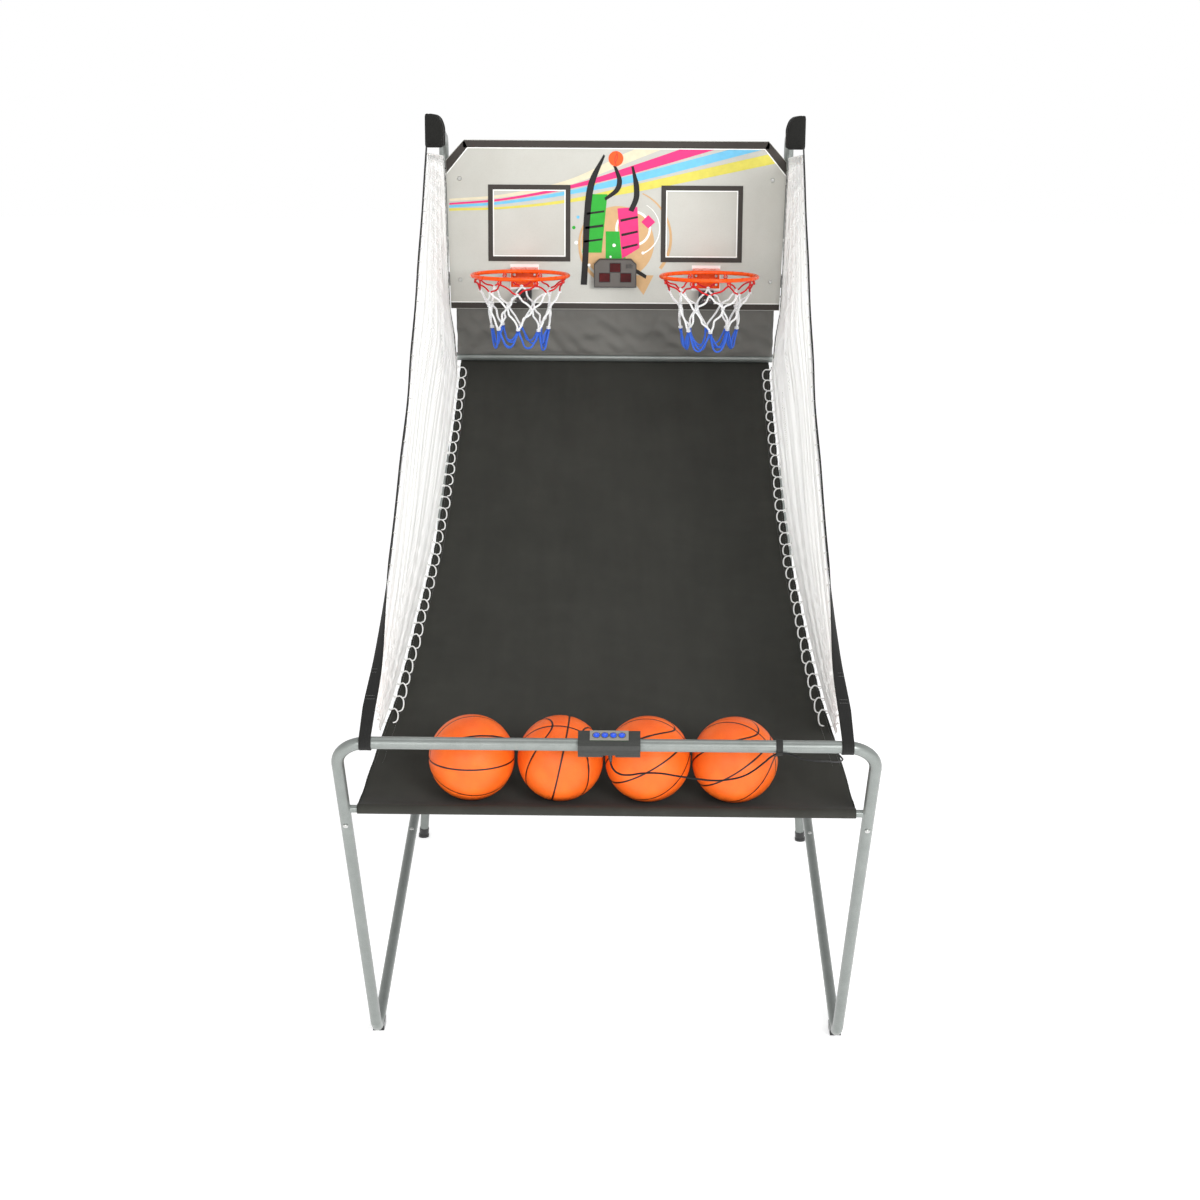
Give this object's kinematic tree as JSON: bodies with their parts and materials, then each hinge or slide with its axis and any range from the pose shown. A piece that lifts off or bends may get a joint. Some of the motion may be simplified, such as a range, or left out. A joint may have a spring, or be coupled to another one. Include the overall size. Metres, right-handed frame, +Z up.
{
  "type": "double hoop arcade basketball machine",
  "caption": "Freestanding double-hoop basketball shooting game with a sloping cloth ball return, side nets, score display and push-button control unit on a tube frame.",
  "frame": {"origin": "centre of the footprint box, at the floor", "axes": "+Z up, +X to the right of a player who faces the backboard, +Y from the player towards the backboard"},
  "size_m": [1.1328, 1.9794, 2.076],
  "materials": {
    "silver_tube": "satin metallic",
    "zinc_steel": "satin",
    "black_plastic": "matte",
    "dark_plastic": "satin",
    "board": "satin print",
    "orange_paint": "gloss",
    "white_paint": "gloss",
    "net_cord": "twisted cord",
    "grey_plastic": "satin",
    "red_lens": "gloss",
    "circuit": "satin",
    "speaker": "matte",
    "battery": "satin",
    "control_plastic": "textured",
    "panel_plastic": "satin",
    "blue_button": "gloss",
    "red_switch": "gloss",
    "lead": "satin",
    "tie": "woven",
    "black_cloth": "woven",
    "grey_cloth": "woven",
    "white_net": "knotless net",
    "black_webbing": "woven webbing",
    "lacing": "twisted cord",
    "ball_rubber": "pebbled"
  },
  "bodies": {
    "frame": {"front_bar": "silver_tube", "front_leg_left": "silver_tube", "front_leg_right": "silver_tube", "rear_runner_left": "silver_tube", "rear_runner_right": "silver_tube", "rear_post_left": "silver_tube", "rear_post_right": "silver_tube", "upright_left": "silver_tube", "upright_right": "silver_tube", "ramp_front_tube": "silver_tube", "ramp_top_tube": "silver_tube", "rear_cross_tube": "silver_tube", "frame_bolts": "zinc_steel", "tube_plugs": "black_plastic", "foot_caps": "black_plastic", "floor_glides": "black_plastic", "backboard": "board", "board_clamps": "black_plastic", "board_bolts": "zinc_steel", "rim_left": "orange_paint", "rim_right": "orange_paint", "rim_bracket_left": "orange_paint", "rim_bracket_right": "orange_paint", "rim_plates": "white_paint", "sensor_box_left": "black_plastic", "sensor_box_right": "black_plastic", "sensor_pins": "zinc_steel", "hoop_net_left": "net_cord", "hoop_net_right": "net_cord", "score_front": "grey_plastic", "score_back": "black_plastic", "score_lens": "red_lens", "score_board": "circuit", "speaker": "speaker", "batteries": "battery", "control_front": "control_plastic", "control_back": "control_plastic", "control_panel": "panel_plastic", "control_board": "circuit", "control_cable": "lead", "cable_ties": "tie", "ramp_fabric": "black_cloth", "back_panel": "grey_cloth", "side_net_left": "white_net", "side_net_right": "white_net", "net_straps": "black_webbing", "net_sleeves": "black_webbing", "net_lacing": "lacing"},
    "sensor_lever_left": {"sensor_lever_left": "dark_plastic"},
    "sensor_lever_right": {"sensor_lever_right": "dark_plastic"},
    "battery_door": {"battery_door": "dark_plastic"},
    "button_1": {"button_1": "blue_button"},
    "button_2": {"button_2": "blue_button"},
    "button_3": {"button_3": "blue_button"},
    "button_4": {"button_4": "blue_button"},
    "power_switch": {"power_switch": "red_switch"},
    "ball_1": {"ball_1": "ball_rubber"},
    "ball_2": {"ball_2": "ball_rubber"},
    "ball_3": {"ball_3": "ball_rubber"},
    "ball_4": {"ball_4": "ball_rubber"}
  },
  "joints": [
    {"name": "button_1_press", "type": "slide", "parent": "frame", "child": "button_1", "axis": [0, 0.4746, -0.8802], "range_m": [0, 0.0015], "stiffness_N_per_m": 250, "springref_m": -0.001},
    {"name": "button_2_press", "type": "slide", "parent": "frame", "child": "button_2", "axis": [0, 0.4746, -0.8802], "range_m": [0, 0.0015], "stiffness_N_per_m": 250, "springref_m": -0.001},
    {"name": "button_3_press", "type": "slide", "parent": "frame", "child": "button_3", "axis": [0, 0.4746, -0.8802], "range_m": [0, 0.0015], "stiffness_N_per_m": 250, "springref_m": -0.001},
    {"name": "button_4_press", "type": "slide", "parent": "frame", "child": "button_4", "axis": [0, 0.4746, -0.8802], "range_m": [0, 0.0015], "stiffness_N_per_m": 250, "springref_m": -0.001},
    {"name": "sensor_left_swing", "type": "hinge", "parent": "frame", "child": "sensor_lever_left", "pos_m": [-0.241, 0.6468, 1.602], "axis": [1, 0, 0], "range_deg": [0, 30], "stiffness_Nm_per_rad": 0.01, "springref_deg": -17.19},
    {"name": "sensor_right_swing", "type": "hinge", "parent": "frame", "child": "sensor_lever_right", "pos_m": [0.241, 0.6468, 1.602], "axis": [1, 0, 0], "range_deg": [0, 30], "stiffness_Nm_per_rad": 0.01, "springref_deg": -17.19},
    {"name": "ball_1_lift", "type": "slide", "parent": "frame", "child": "ball_1", "axis": [0, 0, 1], "range_m": [0, 0.3]},
    {"name": "ball_2_lift", "type": "slide", "parent": "frame", "child": "ball_2", "axis": [0, 0, 1], "range_m": [0, 0.3]},
    {"name": "ball_3_lift", "type": "slide", "parent": "frame", "child": "ball_3", "axis": [0, 0, 1], "range_m": [0, 0.3]},
    {"name": "ball_4_lift", "type": "slide", "parent": "frame", "child": "ball_4", "axis": [0, 0, 1], "range_m": [0, 0.3]},
    {"name": "battery_door_slide", "type": "slide", "parent": "frame", "child": "battery_door", "axis": [0, 0, 1], "range_m": [0, 0.03]},
    {"name": "power_switch_slide", "type": "slide", "parent": "frame", "child": "power_switch", "axis": [1, 0, 0], "range_m": [0, 0.004]}
  ]
}
